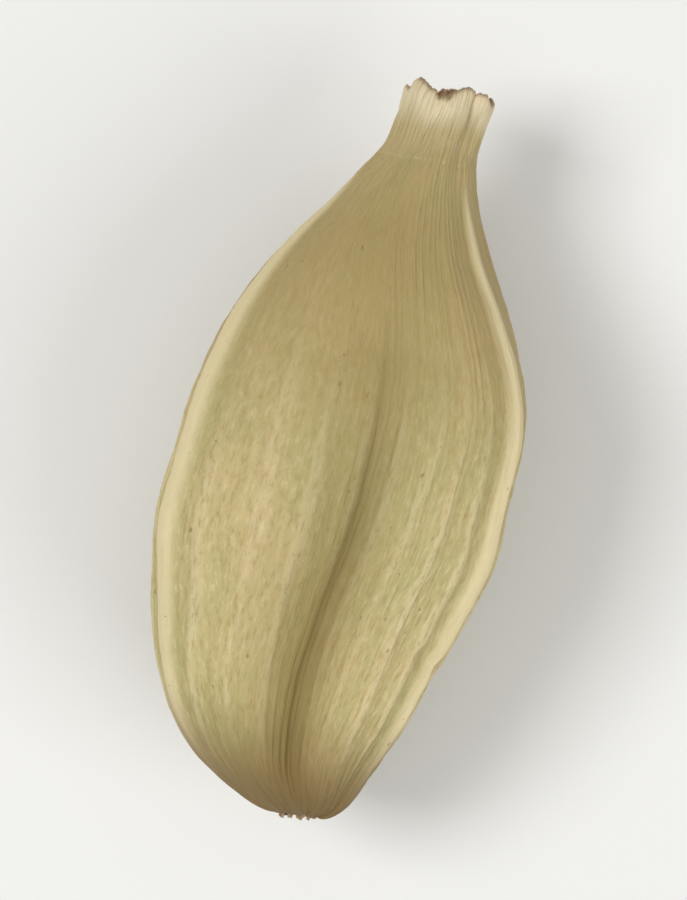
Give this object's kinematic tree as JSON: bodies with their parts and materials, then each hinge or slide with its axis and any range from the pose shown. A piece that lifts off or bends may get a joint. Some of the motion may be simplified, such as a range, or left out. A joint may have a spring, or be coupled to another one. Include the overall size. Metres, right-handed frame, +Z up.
{
  "type": "green cardamom pod",
  "caption": "Dried green cardamom pod: a lobed, ribbed husk with furrows, a stalk scar and a short beak, resting on a small flat spot.",
  "frame": {"origin": "on the surface the pod rests on, under the middle of its bounding box", "axes": "+Y along the pod towards its beak, +Z up with the furrow between the two upper lobes on top, +X to the right of the furrow as seen from above with the beak away"},
  "size_m": [0.0086, 0.018, 0.008],
  "materials": {
    "husk": "matte, dry and fibrous, pale straw green"
  },
  "bodies": {
    "root": {"cardamom_pod": "husk"}
  },
  "joints": []
}
